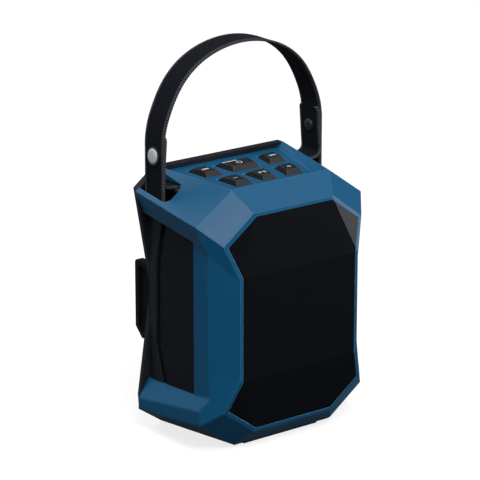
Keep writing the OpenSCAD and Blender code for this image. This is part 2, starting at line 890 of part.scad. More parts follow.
module driver_dust_cap() {
    base_y = cone_neck[1] - 1.6;
    color("#1c1d1f") placed() about_driver([
        for (a = [0 : 15 : 90]) [cap_r * cos(a), base_y - cap_rise * sin(a)],
        for (a = [90 : -15 : 0]) [(cap_r - cone_wall) * cos(a), base_y - (cap_rise - cone_wall) * sin(a)]
    ]);
}

module driver_voice_coil() {
    color("#a4643a") placed()
        driver_ring(coil_r - coil_wall, coil_r, cone_neck[1] - 0.5, coil_rear - cone_neck[1] + 0.5);
}

module driver_screws() {
    color("#8d9094") placed() driver_screw_places() {
        rod_y(0, flange_front - driver_head_t, 0, driver_head_r, driver_head_t);
        rod_y(0, flange_front - 0.1, 0, driver_screw_r, baffle_front + baffle_t - flange_front - 1.4);
    }
}

// Everything outside a key's four sloping sides, which start just under the floor
module key_slopes(key) {
    row = key_y(key[2]);
    foot = [for (p = key_outline(key)) [p.x, row + p.y, floor_at(row + p.y) - key_skirt]];
    inward = [[0, key_front_taper], [-key_taper, 0], [0, -key_rear_taper], [key_taper, 0]];
    for (i = [0 : 3])
        above(foot[i], cross(foot[(i + 1) % 4] - foot[i], [inward[i].x, inward[i].y, key_proud + key_skirt]));
}

// A key: sloping cap above the floor, straight skirt through its window, retaining flange below
module key_block(key) {
    row = key_y(key[2]);
    color("#2a2c2f") placed() {
        difference() {
            translate([0, row, key_flange_top]) linear_extrude(big / 4) polygon(key_outline(key));
            above(floor_front + [0, 0, key_proud], floor_normal);
            key_slopes(key);
        }
        translate([0, row, key_flange_top - key_flange_t])
            linear_extrude(key_flange_t) polygon(key_outline(key, key_flange));
    }
}

module key_previous() {
    key_block(KEYS[0]);
}

module key_power() {
    key_block(KEYS[1]);
}

module key_next() {
    key_block(KEYS[2]);
}

module key_volume_down() {
    key_block(KEYS[3]);
}

module key_play() {
    key_block(KEYS[4]);
}

module key_volume_up() {
    key_block(KEYS[5]);
}

module key_mat() {
    color("#303236") placed()
        block_at(0, control_front_y + control_d / 2, mat_top - mat_t, mat_w, control_d - 1, mat_t);
}

module key_switches() {
    color("#c2c4c6") placed() for (key = KEYS)
        block_at(key[1], key_y(key[2]), control_top, switch_w, switch_w, switch_h);
}

module control_board() {
    color("#1e5a3a") placed() difference() {
        block_at(0, control_front_y + control_d / 2, control_top - board_t, control_w, control_d, board_t);
        control_columns(small_screw_r + touch, control_top - board_t - 1, board_t + 2);
    }
}

module control_board_screws() {
    color("#8d9094") placed() {
        control_columns(small_head_r, control_top - board_t - small_head_t, small_head_t);
        control_columns(small_screw_r, control_top - board_t - 0.1, board_t + 4);
    }
}

module main_board() {
    color("#1e5a3a") placed() difference() {
        translate([-main_w / 2, main_rear - board_t, main_base_z]) cube([main_w, board_t, main_h]);
        main_columns(small_screw_r + touch, main_rear - board_t - 1, board_t + 2);
    }
}

module board_parts() {
    face = main_rear - board_t;
    color("#2a2b2d") placed() {
        for (x = CAPACITORS)
            rod_y(x, face - capacitor_h, main_base_z + capacitor_z, capacitor_r, capacitor_h);
        for (c = CHIPS) block_at(c[0], face - c[3] / 2, main_base_z + c[1], c[2], c[3], c[4]);
    }
}

module main_board_screws() {
    face = main_rear - board_t;
    color("#8d9094") placed() {
        main_columns(small_head_r, face - small_head_t, small_head_t);
        main_columns(small_screw_r, face - 0.1, board_t + 4.5);
    }
}

// One battery guard: an upright cheek with an inward lip, its outer face channelled
module battery_guard() {
    x0 = dock_slot_w / 2;
    top_z = guard_base_z + guard_h;
    r = guard_round;
    difference() {
        union() {
            along_x(x0, guard_t) polygon([
                [rear_face, guard_base_z], [total_d - r, guard_base_z], [total_d, guard_base_z + r],
                [total_d, top_z - 1.5], [total_d - 1.5, top_z], [rear_face, top_z]
            ]);
            translate([x0 - guard_lip, total_d - guard_lip_t, guard_base_z + r])
                cube([guard_lip + 1, guard_lip_t, guard_h - r - 1.5]);
        }
        along_x(x0 + guard_t - guard_channel, guard_t) polygon([
            [rear_face - 1, guard_base_z + guard_rim], [total_d - r, guard_base_z + guard_rim],
            [total_d - guard_rim, guard_base_z + r], [total_d - guard_rim, top_z - guard_rim],
            [rear_face - 1, top_z - guard_rim]
        ]);
    }
}

module battery_dock() {
    color("#17191b") placed() difference() {
        union() {
            translate([-dock_half_w, rear_face, dock_base_z])
                cube([2 * dock_half_w, dock_t, dock_top_z - dock_base_z]);
            both_sides() battery_guard();
        }
        dock_columns(screw_r + touch, rear_face - 1, dock_t + 2);
        dock_columns(screw_head_r + touch, dock_face - 1.6, 3);
    }
}

module contact_block() {
    color("#2d3033") placed() difference() {
        translate([-block_w / 2, dock_face, dock_base_z + 1]) cube([block_w, block_d, block_h]);
        contact_places(touch, block_h + 2);
    }
}

module contact_places(grow, h) {
    for (i = [-1.5 : 1 : 1.5])
        block_at(i * blade_pitch, dock_face + block_d / 2, dock_base_z + 5,
            blade_t + 2 * grow, blade_w + 2 * grow, h);
}

module contact_blades() {
    color("#c08a3e") placed() contact_places(0, block_h - 4 + blade_h);
}

module dock_screws() {
    color("#8d9094") placed() {
        dock_columns(screw_head_r, dock_face - 1.6, 1.6);
        dock_columns(screw_r, rear_face - 3, dock_t + 2);
    }
}

module strap_bar(side) {
    color("#3c3e41") placed() mirror([side < 0 ? 1 : 0, 0, 0])
        rod_y(bar_x, pocket_front - bar_seat + touch, bar_z, bar_r, shell_d - pocket_front + bar_seat - touch);
}

module strap_bar_left() {
    strap_bar(-1);
}

module strap_bar_right() {
    strap_bar(1);
}

// The area inside the strap, drawn in by inset, down to where the legs turn in
module strap_area(inset) {
    tangent_x = shoulder_x / (arch_r - shoulder_r) * (arch_r - inset);
    intersection() {
        translate([0, arch_z]) circle(r = arch_r - inset, $fn = 96);
        union() {
            translate([-tangent_x, shoulder_z]) square([2 * tangent_x, arch_r]);
            for (s = [-1, 1]) translate([s * shoulder_x, shoulder_z]) circle(r = shoulder_r - inset, $fn = 96);
        }
        translate([-big / 2, shoulder_z]) square([big, big]);
    }
    translate([inset - strap_x, bend_z]) square([2 * (strap_x - inset), shoulder_z - bend_z]);
}

module strap_layer(from, to) {
    difference() {
        strap_area(from);
        strap_area(to);
    }
}

// Quarter of a webbing bend, right of and below its centre, turned on by quarters
module bend(x, z, radius, quarter) {
    translate([x, z]) rotate(90 * quarter) intersection() {
        difference() {
            circle(r = radius + strap_t / 2);
            circle(r = radius - strap_t / 2);
        }
        translate([0, -2 * radius]) square(2 * radius);
    }
}

module run(x0, x1, z) {
    translate([x0, z - strap_t / 2]) square([x1 - x0, strap_t]);
}

module strap_leg_section() {
    inner_x = bar_x - loop_r;
    top_run = bar_z + loop_r;
    intersection() {
        strap_layer(0, strap_t);
        translate([0, bend_z]) square([big, leg_top - bend_z]);
    }
    bend(strap_mid_x - bend_r, bend_z, bend_r, 0);
    run(inner_x + bend_r, strap_mid_x - bend_r, bend_z - bend_r);
    bend(inner_x + bend_r, bend_z, bend_r, -1);
    translate([inner_x - strap_t / 2, bend_z]) square([strap_t, bar_z - bend_z]);
    bend(bar_x, bar_z, loop_r, -2);
    run(bar_x, flap_mid_x - flap_bend_r, top_run);
    bend(flap_mid_x - flap_bend_r, top_run + flap_bend_r, flap_bend_r, 0);
    intersection() {
        strap_layer(strap_t, 2 * strap_t);
        translate([0, top_run + flap_bend_r]) square([big, flap_top - top_run - flap_bend_r]);
    }
}

module strap_leg() {
    difference() {
        along_y(strap_front, strap_w) strap_leg_section();
        rod_x(0, strap_mid_y, swing_z, strap_w / 2 + running, ledge_w);
        rod_x(0, strap_mid_y, rivet_z, rivet_post_r + touch, ledge_w);
    }
}

module strap_leg_right() {
    color("#15171b") placed() strap_leg();
}

module strap_leg_left() {
    color("#15171b") placed() mirror([1, 0, 0]) strap_leg();
}

// The strap above the fold line: its rounded lower ends turn in the hollows of the two legs
module strap_arch() {
    color("#15171b") placed() intersection() {
        along_y(strap_front, strap_w) strap_layer(0, strap_t);
        union() {
            translate([-ledge_w, 0, swing_z]) cube([2 * ledge_w, 2 * shell_d, strap_top]);
            rod_x(-ledge_w, strap_mid_y, swing_z, strap_w / 2, 2 * ledge_w);
        }
    }
}

module rivet() {
    rod_x(strap_x, strap_mid_y, rivet_z, rivet_r, rivet_cap_t);
    rod_x(strap_x - 2 * strap_t - 0.1, strap_mid_y, rivet_z, rivet_post_r, 2 * strap_t + 0.2);
    rod_x(strap_x - 2 * strap_t - rivet_button_t, strap_mid_y, rivet_z, rivet_button_r, rivet_button_t);
}

module strap_rivets() {
    color("#b8babd") placed() both_sides() rivet();
}

module foot_front() {
    color("#0f1011") placed() foot_block(foot_front_w, foot_front_y);
}

module foot_rear() {
    color("#0f1011") placed() foot_block(foot_rear_w, foot_rear_y);
}

module housing_screws() {
    color("#8d9094") placed() both_sides() {
        boss_rods(screw_head_r, rear_face - screw_head_t, screw_head_t);
        boss_rods(screw_r, shell_d - screw_grip + 1, screw_grip + 2);
    }
}

front_housing();
rear_housing();
side_panel_left();
side_panel_right();
speaker_grille();
grille_cloth();
driver_basket();
driver_gasket();
driver_top_plate();
driver_magnet();
driver_yoke();
driver_surround();
driver_spider();
driver_cone();
driver_dust_cap();
driver_voice_coil();
driver_screws();
key_previous();
key_power();
key_next();
key_volume_down();
key_play();
key_volume_up();
key_mat();
key_switches();
control_board();
control_board_screws();
main_board();
board_parts();
main_board_screws();
battery_dock();
contact_block();
contact_blades();
dock_screws();
strap_bar_left();
strap_bar_right();
strap_leg_left();
strap_leg_right();
strap_arch();
strap_rivets();
foot_front();
foot_rear();
housing_screws();
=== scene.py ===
"""Looks for the cordless speaker: finishes, webbing, rivets, key legends, light and camera."""

import bpy
import numpy as np
from mathutils import Matrix


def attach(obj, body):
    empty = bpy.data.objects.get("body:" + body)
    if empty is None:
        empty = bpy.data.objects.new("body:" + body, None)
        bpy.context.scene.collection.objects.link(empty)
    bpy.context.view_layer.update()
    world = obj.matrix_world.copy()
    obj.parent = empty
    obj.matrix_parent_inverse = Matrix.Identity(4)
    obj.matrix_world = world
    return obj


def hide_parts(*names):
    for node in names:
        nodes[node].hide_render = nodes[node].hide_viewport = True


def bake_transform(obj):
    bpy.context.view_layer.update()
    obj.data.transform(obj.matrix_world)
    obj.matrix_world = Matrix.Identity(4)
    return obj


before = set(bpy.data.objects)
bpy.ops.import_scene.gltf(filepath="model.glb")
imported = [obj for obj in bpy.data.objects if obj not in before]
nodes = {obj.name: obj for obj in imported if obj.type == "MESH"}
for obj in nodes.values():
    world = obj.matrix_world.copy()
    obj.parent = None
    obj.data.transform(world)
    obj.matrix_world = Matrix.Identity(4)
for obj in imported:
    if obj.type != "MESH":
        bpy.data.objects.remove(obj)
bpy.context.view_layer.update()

MM = 0.001


def node_box(name):
    """The low and the high corner of a CAD node in the frame, in millimetres to a thousandth."""
    mesh = nodes[name].data
    points = np.empty(len(mesh.vertices) * 3, np.float32)
    mesh.vertices.foreach_get("co", points)
    points = points.reshape(-1, 3).astype(float)
    return np.round(np.stack([points.min(0), points.max(0)]) / MM, 3)


# The source counts y from the grille's face and z from the shell's base, in millimetres.
# The frame is in metres.
SOURCE_ORIGIN = np.array([0.0, node_box("speaker_grille")[0, 1], node_box("front_housing")[0, 2]])


def node_middle(name):
    """The middle of a CAD node's box in the source's millimetres."""
    return np.round(node_box(name).mean(0) - SOURCE_ORIGIN, 3)


def metres(x, y, z):
    """Points given in the source's millimetres, as an N by 3 array in the frame's metres."""
    points = np.stack(np.broadcast_arrays(np.asarray(x, float), y, z), -1)
    return (points.reshape(-1, 3) + SOURCE_ORIGIN) * MM


def facing(back, at):
    """Matrix of an object at a place, looking away from back: X = up x back, Y = back x X, Z = back."""
    right = np.cross([0.0, 0.0, 1.0], back)
    right /= np.linalg.norm(right)
    matrix = np.eye(4)
    matrix[:3] = np.stack([right, np.cross(back, right), back, at], 1)
    return Matrix(matrix.tolist())


# Camera at the photograph's viewing angle: its place and sight in metres, its lens and sensor in millimetres
TURN, RISE = np.radians([-37.5, 17.534])
CAMERA_AT = (-0.8624, -1.1160, 0.5539)
LENS, SENSOR = 195.0, 36.0
SIGHT_LIMIT = 50.0

camera = bpy.data.objects.new("camera", bpy.data.cameras.new("camera"))
camera.data.lens = LENS
camera.data.sensor_width = SENSOR
camera.data.clip_end = SIGHT_LIMIT
backward = np.array([np.sin(TURN) * np.cos(RISE), -np.cos(TURN) * np.cos(RISE), np.sin(RISE)])
camera.matrix_world = facing(backward, CAMERA_AT)
bpy.context.scene.collection.objects.link(camera)
bpy.context.scene.camera = camera


# Node helpers

def feed(tree, socket, value):
    """Give an input another node's output or a plain value."""
    if isinstance(value, bpy.types.NodeSocket):
        tree.links.new(value, socket)
    else:
        socket.default_value = value


def add(tree, kind, inputs=None, **settings):
    """A node of that kind with its settings, and its inputs fed by name or number."""
    node = tree.nodes.new(kind)
    for key, value in settings.items():
        setattr(node, key, value)
    for key, value in (inputs or {}).items():
        feed(tree, node.inputs[key], value)
    return node


def maths(tree, operation, a, b=None, clamp=False):
    """The output of one Math node; a and b are outputs or numbers."""
    inputs = {0: a} if b is None else {0: a, 1: b}
    return add(tree, "ShaderNodeMath", inputs, operation=operation, use_clamp=clamp).outputs[0]


def vector_maths(tree, operation, a, b=None):
    """The outputs, Vector and Value, of one Vector Math node; a and b are outputs or plain vectors."""
    inputs = {0: a} if b is None else {0: a, 1: b}
    return add(tree, "ShaderNodeVectorMath", inputs, operation=operation).outputs


def scaled(tree, value, gain, lift, clamp=False):
    """value times gain, plus lift."""
    return maths(tree, "ADD", maths(tree, "MULTIPLY", value, gain), lift, clamp)


def swing(tree, texture, span):
    """A texture's value about its middle, over so wide a span: (value - 0.5) times span."""
    return maths(tree, "MULTIPLY", maths(tree, "SUBTRACT", texture, 0.5), span)


def ramp(tree, value, start, fade):
    """0 at start, 1 a fade further on and straight between; a negative fade runs the other way."""
    return maths(tree, "DIVIDE", maths(tree, "SUBTRACT", value, start), fade, clamp=True)


def mixed(tree, factor, a, b):
    """Colour a going to colour b by factor; each is an output or a plain colour."""
    return add(tree, "ShaderNodeMix", {0: factor, 6: a, 7: b}, data_type="RGBA").outputs[2]


def split(tree, vector):
    """A vector's parts, by the names X, Y and Z."""
    return add(tree, "ShaderNodeSeparateXYZ", {0: vector}).outputs


def noise(tree, place, scale, detail, roughness=0.5):
    """The value of a noise texture at a place."""
    inputs = {"Vector": place, "Scale": scale, "Detail": detail, "Roughness": roughness}
    return add(tree, "ShaderNodeTexNoise", inputs).outputs[0]


def bumped(tree, height, strength, distance, **more):
    """The normal that height times distance, in metres, gives at a strength; more holds other inputs."""
    inputs = {"Height": height, "Strength": strength, "Distance": distance, **more}
    return add(tree, "ShaderNodeBump", inputs).outputs[0]


def linear(code):
    """Linear colour of an sRGB code such as 154a6b: c / 12.92, or ((c + 0.055) / 1.055) ** 2.4."""
    c = np.array(list(bytes.fromhex(code))) / 255.0
    c = np.where(c <= 0.04045, c / 12.92, ((c + 0.055) / 1.055) ** 2.4)
    return (*c.tolist(), 1.0)


def new_group(name, inputs, outputs):
    """An empty node group with sockets of the named kinds: its tree, what goes in and what comes out."""
    tree = bpy.data.node_groups.new(name, "ShaderNodeTree")
    for in_out, sockets in (("INPUT", inputs), ("OUTPUT", outputs)):
        for label, kind in sockets.items():
            tree.interface.new_socket(label, in_out=in_out, socket_type="NodeSocket" + kind)
    return tree, tree.nodes.new("NodeGroupInput").outputs, tree.nodes.new("NodeGroupOutput").inputs


# Moulded plastic: scale of its handling marks, how fast an edge shows, the least share of its painted edge
# highlight, and its grain's depth
HANDLING_SCALE = 38.0
EDGE_GAIN = 6.0
HIGHLIGHT_LEAST = 0.35
GRAIN_DEPTH = 0.06 * MM


def moulded_group():
    """Moulded plastic: an eroded tool's grain for bump, broad handling marks, and a painted highlight along
    its edges.

    Edge = 1 - (face normal . normal rounded over Round), stretched. Colour goes towards the painted edge
    highlight colour by edge times broad noise times the highlight share. Both noises move the roughness, and
    the broad one the tone.
    """
    tree, given, out = new_group(
        "moulded_plastic",
        {"Vector": "Vector", "Colour": "Color", "Edge Highlight Colour": "Color", "Grain": "Float",
         "Depth": "Float", "Round": "Float", "Rough": "Float", "Highlight Share": "Float"},
        {"Colour": "Color", "Roughness": "Float", "Normal": "Vector"})
    grain = noise(tree, given["Vector"], scale=given["Grain"], detail=3.0, roughness=0.6)
    broad = noise(tree, given["Vector"], scale=HANDLING_SCALE, detail=4.0, roughness=0.55)
    rounded = add(tree, "ShaderNodeBevel", {"Radius": given["Round"]}, samples=4).outputs[0]
    face = add(tree, "ShaderNodeNewGeometry").outputs["True Normal"]
    match = vector_maths(tree, "DOT_PRODUCT", rounded, face)["Value"]
    edge = maths(tree, "MULTIPLY", maths(tree, "SUBTRACT", 1.0, match), EDGE_GAIN, clamp=True)
    # Painted highlight along the edges, made patchy by the broad noise
    patchy_highlight = maths(tree, "MULTIPLY", edge, maths(tree, "ADD", broad, HIGHLIGHT_LEAST), clamp=True)
    edge_highlight = maths(tree, "MULTIPLY", patchy_highlight, given["Highlight Share"], clamp=True)
    tone = scaled(tree, broad, gain=0.16, lift=0.92)
    toned = {0: given["Colour"], "Scale": tone}
    body = add(tree, "ShaderNodeVectorMath", toned, operation="SCALE").outputs[0]
    feed(tree, out["Colour"], mixed(tree, edge_highlight, body, given["Edge Highlight Colour"]))
    smeared = maths(tree, "ADD", given["Rough"], swing(tree, broad, span=0.16))
    feed(tree, out["Roughness"], maths(tree, "ADD", smeared, swing(tree, grain, span=0.1), clamp=True))
    feed(tree, out["Normal"], bumped(tree, grain, given["Depth"], GRAIN_DEPTH, Normal=rounded))
    return tree


# Grille: spacing of its holes, a hole's radius and rolled rim as shares of the spacing
HOLE_PITCH = 1.5 * MM
HOLE_RADIUS, HOLE_RIM = 0.32, 0.1
# How high the grain of its coat stands, beside the depth of a hole
COAT_GRAIN = 0.06
# Whole cells added to a place, so that the fraction of it is taken of a positive number
CELLS_AHEAD = 100.0


def perforation_group():
    """Round holes on a staggered grid in X and Z.

    Cells are Pitch wide and Pitch times root 3 high, with a hole at the corner and in the middle of each.
    Solid goes straight from 0 to 1 over HOLE_RIM, from where the nearest hole's centre is Hole pitches away.
    """
    tree, given, out = new_group(
        "perforated_sheet", {"Vector": "Vector", "Pitch": "Float", "Hole": "Float"}, {"Solid": "Float"})
    tall = 3 ** 0.5
    flat = split(tree, given["Vector"])
    across = maths(tree, "DIVIDE", flat["X"], given["Pitch"])
    along = maths(tree, "DIVIDE", flat["Z"], maths(tree, "MULTIPLY", given["Pitch"], tall))
    reach = []
    for shift in (0.0, 0.5):
        cells = [maths(tree, "ADD", way, CELLS_AHEAD + shift) for way in (across, along)]
        wide, high = [maths(tree, "SUBTRACT", maths(tree, "FRACT", cell), 0.5) for cell in cells]
        high = maths(tree, "MULTIPLY", high, tall)
        squares = [maths(tree, "MULTIPLY", part, part) for part in (wide, high)]
        reach.append(maths(tree, "SQRT", maths(tree, "ADD", *squares)))
    feed(tree, out["Solid"], ramp(tree, maths(tree, "MINIMUM", *reach), given["Hole"], HOLE_RIM))
    return tree


def weave_group():
    """Plain weave: two crossed sets of threads, each a rounded wave, that lie over one another by turns.

    With U and V counted in threads, Height = max(a |sin pi U|, b |sin pi V|). Of a and b, the one for the
    set on top is 1 and the other a half, and they change places from thread to thread.
    """
    tree, given, out = new_group("plain_weave", {"U": "Float", "V": "Float"}, {"Height": "Float"})
    turns = [maths(tree, "MULTIPLY", given[way], np.pi) for way in ("U", "V")]
    wave_u, wave_v = [maths(tree, "ABSOLUTE", maths(tree, "SINE", turn)) for turn in turns]
    crossings = maths(tree, "ADD", *[maths(tree, "FLOOR", given[way]) for way in ("U", "V")])
    warp = maths(tree, "FLOORED_MODULO", crossings, 2.0)
    over = maths(tree, "MULTIPLY", wave_u, scaled(tree, warp, gain=0.5, lift=0.5))
    under = maths(tree, "MULTIPLY", wave_v, scaled(tree, warp, gain=-0.5, lift=1.0))
    feed(tree, out["Height"], maths(tree, "MAXIMUM", over, under))
    return tree


MOULDED = moulded_group()
PERFORATED = perforation_group()
WEAVE = weave_group()


# Finishes

def principled(tree):
    """The inputs of a material's Principled shader."""
    return next(node for node in tree.nodes if node.type == "BSDF_PRINCIPLED").inputs


def new_material(name, **constants):
    """A material with its constants set: it, its tree, its Principled inputs and its Object coordinates."""
    material = bpy.data.materials.new(name)
    material.use_nodes = True
    tree = material.node_tree
    shader = principled(tree)
    for label, value in constants.items():
        shader[label.replace("_", " ")].default_value = value
    return material, tree, shader, add(tree, "ShaderNodeTexCoord").outputs["Object"]


def moulded(name, colour, edge, rough=0.42, grain=2200.0, depth=0.2, roundness=0.5, highlight_share=0.6, specular=0.5):
    """Moulded plastic of an sRGB colour, its edges rounded over so many millimetres, with the second colour
    painted on them as a highlight.
    """
    material, tree, shader, place = new_material(name, Specular_IOR_Level=specular)
    inputs = {"Vector": place, "Colour": linear(colour), "Edge Highlight Colour": linear(edge), "Grain": grain,
              "Depth": depth, "Round": roundness * MM, "Rough": rough, "Highlight Share": highlight_share}
    plastic = add(tree, "ShaderNodeGroup", inputs, node_tree=MOULDED).outputs
    feed(tree, shader["Base Color"], plastic["Colour"])
    feed(tree, shader["Roughness"], plastic["Roughness"])
    feed(tree, shader["Normal"], plastic["Normal"])
    return material


# Shell: rounding of its edges in front and on the flanks, the share of its painted edge highlight, and the
# part of that the flanks lose
EDGE_CRISP, EDGE_SOFT = 0.55 * MM, 2.4 * MM
SHELL_HIGHLIGHT, FLANK_HIGHLIGHT_LOSS = 0.9, 0.9
# The flanks lie from this far out in X, up to this height, and fade in over this way
FLANK_FROM, FLANK_TOP, FLANK_FADE = 47 * MM, 125 * MM, 4 * MM
# Where a strap bar's blind bore ends just under the skin: the frame's X, Y and Z, all without their signs
BAR_END = (47.9 * MM, 2.2 * MM, 146.1 * MM)
BAR_END_CLEAR, BAR_END_FADE = 2 * MM, 1 * MM


def shell_finish(name):
    """Satin blue plastic: edges crisp round the grille and keypad, softer and with a fainter painted
    highlight on the flanks.

    Flank = 1 well out from the middle in X and well below the keypad in Z; by it Round goes from crisp to
    soft and the painted edge highlight fades. Round falls to 0 near BAR_END, so that the bore under the skin
    isn't taken for an edge.
    """
    # 5588aa is the painted highlight along the shell's edges
    material = moulded(name, "0a4262", "5588aa", rough=0.4, highlight_share=SHELL_HIGHLIGHT, specular=0.11)
    tree = material.node_tree
    plastic = next(node for node in tree.nodes if node.type == "GROUP").inputs
    place = plastic["Vector"].links[0].from_socket
    folded = vector_maths(tree, "ABSOLUTE", place)["Vector"]
    at = split(tree, folded)
    out = ramp(tree, at["X"], FLANK_FROM, FLANK_FADE)
    low = ramp(tree, at["Z"], FLANK_TOP, -FLANK_FADE)
    flank = maths(tree, "MULTIPLY", out, low)
    away = vector_maths(tree, "DISTANCE", folded, BAR_END)["Value"]
    roundness = scaled(tree, flank, EDGE_SOFT - EDGE_CRISP, EDGE_CRISP)
    clear = ramp(tree, away, BAR_END_CLEAR, BAR_END_FADE)
    feed(tree, plastic["Round"], maths(tree, "MULTIPLY", roundness, clear))
    feed(tree, plastic["Highlight Share"], scaled(tree, flank, -FLANK_HIGHLIGHT_LOSS * SHELL_HIGHLIGHT, SHELL_HIGHLIGHT))
    return material


def metal(name, colour, rough, stretch=(1.0, 1.0, 1.0), metallic=1.0, dark=0.6):
    """Metal with fine brushed lines: noise stretched along an axis moves tone, roughness and bump.

    The tone goes from dark times the colour up to the colour.
    """
    material, tree, shader, place = new_material(name, Metallic=metallic)
    drawn = add(tree, "ShaderNodeMapping", {"Vector": place, "Scale": stretch}).outputs[0]
    lines = noise(tree, drawn, scale=900.0, detail=4.0, roughness=0.65)
    pale = linear(colour)
    deep = (*[part * dark for part in pale[:3]], 1.0)
    feed(tree, shader["Base Color"], mixed(tree, lines, deep, pale))
    feed(tree, shader["Roughness"], scaled(tree, lines, gain=0.25, lift=rough - 0.12, clamp=True))
    feed(tree, shader["Normal"], bumped(tree, lines, strength=0.15, distance=0.03 * MM))
    return material


def grille_finish(name):
    """Black coated sheet: staggered holes painted near black, as the black cloth behind them in shade, with
    a rolled rim to each and a coat's fine grain.

    A thin coat gives the gloss, which stays weak at flat angles, as on a sheet that is partly holes.
    """
    material, tree, shader, place = new_material(
        name, Specular_IOR_Level=0.0, Coat_Weight=0.025, Coat_Roughness=0.33, Coat_IOR=4.0)
    inputs = {"Vector": place, "Pitch": HOLE_PITCH, "Hole": HOLE_RADIUS}
    solid = add(tree, "ShaderNodeGroup", inputs, node_tree=PERFORATED).outputs["Solid"]
    grain = noise(tree, place, scale=3200.0, detail=2.0)
    coat = mixed(tree, grain, linear("06080d"), linear("0a0d12"))
    # The holes are painted, not cut: their near black is the cloth's own black darkened by painted shade
    feed(tree, shader["Base Color"], mixed(tree, solid, linear("040508"), coat))
    feed(tree, shader["Roughness"], scaled(tree, solid, gain=-0.06, lift=0.36))
    height = maths(tree, "ADD", solid, maths(tree, "MULTIPLY", grain, COAT_GRAIN))
    feed(tree, shader["Normal"], bumped(tree, height, strength=0.25, distance=0.1 * MM))
    return material


# The UV map of the webbing: metres round its section, and metres along its length
WEBBING_UV = "length"
# What a thread's height adds to a cloth's tone, as painted shade between threads, and what a broad blotch
# adds
THREAD_SHADE, BLOTCH_TONE = 0.75, 0.35


def woven(name, dark, pale, threads, on_uv=False, sheen=0.25):
    """Woven cloth: threads to the metre both ways, on the webbing's UV map or on Object X and Z.

    Tone = the weave's height, as painted shade in the low places between threads, plus a broad blotch; high
    threads are a little smoother.
    """
    material, tree, shader, place = new_material(
        name, Sheen_Weight=sheen, Sheen_Roughness=0.5, Specular_IOR_Level=0.04)
    if on_uv:
        place = add(tree, "ShaderNodeUVMap", uv_map=WEBBING_UV).outputs[0]
    at = split(tree, place)
    counts = {"U": maths(tree, "MULTIPLY", at["X"], threads[0]),
              "V": maths(tree, "MULTIPLY", at["Y" if on_uv else "Z"], threads[1])}
    height = add(tree, "ShaderNodeGroup", counts, node_tree=WEAVE).outputs["Height"]
    blotch = maths(tree, "MULTIPLY", noise(tree, place, scale=90.0, detail=3.0), BLOTCH_TONE)
    # Painted shade: the weave's low places come out darker
    tone = maths(tree, "ADD", maths(tree, "MULTIPLY", height, THREAD_SHADE), blotch, clamp=True)
    feed(tree, shader["Base Color"], mixed(tree, tone, linear(dark), linear(pale)))
    feed(tree, shader["Roughness"], scaled(tree, height, gain=-0.16, lift=0.93))
    feed(tree, shader["Normal"], bumped(tree, height, strength=0.7, distance=0.18 * MM))
    return material


# Webbing in millimetres: its width, and a thickness just under the source's, so that its layers stay apart
STRAP_W, STRAP_T = 18.0, 1.36
# In metres: half the way round its section, where a selvage's middle lies on it, and a stitch's length
HALF_ROUND = (STRAP_W - STRAP_T + np.pi * STRAP_T / 2) * MM
SELVAGE_AT = (STRAP_W - STRAP_T + np.pi * STRAP_T / 4) * MM
STITCH = 1.45 * MM
# How far stitches reach from a selvage's middle, and where the row on the face begins
STITCH_REACH, STITCH_FACE = 2.3 * MM, 0.9 * MM
# The stitches' slant, the level at which their sine is cut, and how fast they show above it
STITCH_SLANT, STITCH_CUT, STITCH_GAIN = 0.5, 0.1, 1.6


def webbing_finish(name):
    """Black webbing on its UV map: a plain weave, with two rows of slanted, paler stitches on each selvage.

    Side = the signed way round the section to the nearest selvage's middle, and stitches show where it is
    under STITCH_REACH. A stitch is the part of a sine of the length above STITCH_CUT. The sine is moved on
    by the slant times Side and, in the row on the face, by half a stitch.
    """
    material = woven(name, "03050a", "0b0e15", (900.0, 620.0), on_uv=True, sheen=0.012)
    tree = material.node_tree
    shader = principled(tree)
    at = split(tree, add(tree, "ShaderNodeUVMap", uv_map=WEBBING_UV).outputs[0])
    turns = maths(tree, "SUBTRACT", maths(tree, "DIVIDE", at["X"], HALF_ROUND), SELVAGE_AT / HALF_ROUND)
    side = maths(tree, "MULTIPLY", maths(tree, "SUBTRACT", turns, maths(tree, "ROUND", turns)), HALF_ROUND)
    way = maths(tree, "ABSOLUTE", side)
    near = maths(tree, "LESS_THAN", way, STITCH_REACH)
    on_face = maths(tree, "MULTIPLY", maths(tree, "GREATER_THAN", way, STITCH_FACE), STITCH / 2)
    moved = maths(tree, "ADD", on_face, maths(tree, "MULTIPLY", side, STITCH_SLANT))
    count = maths(tree, "DIVIDE", maths(tree, "ADD", at["Y"], moved), STITCH)
    wave = maths(tree, "SINE", maths(tree, "MULTIPLY", count, 2 * np.pi))
    stitch = maths(tree, "MULTIPLY", maths(tree, "SUBTRACT", wave, STITCH_CUT), STITCH_GAIN, clamp=True)
    plain = shader["Base Color"].links[0].from_socket
    shown = maths(tree, "MULTIPLY", near, stitch)
    feed(tree, shader["Base Color"], mixed(tree, shown, plain, linear("4c5054")))
    return material


# Boards: rings to the spacing of the scattered points, and the part of a ring from which its track begins
TRACK_RINGS, TRACK_FROM = 9.0, 0.55


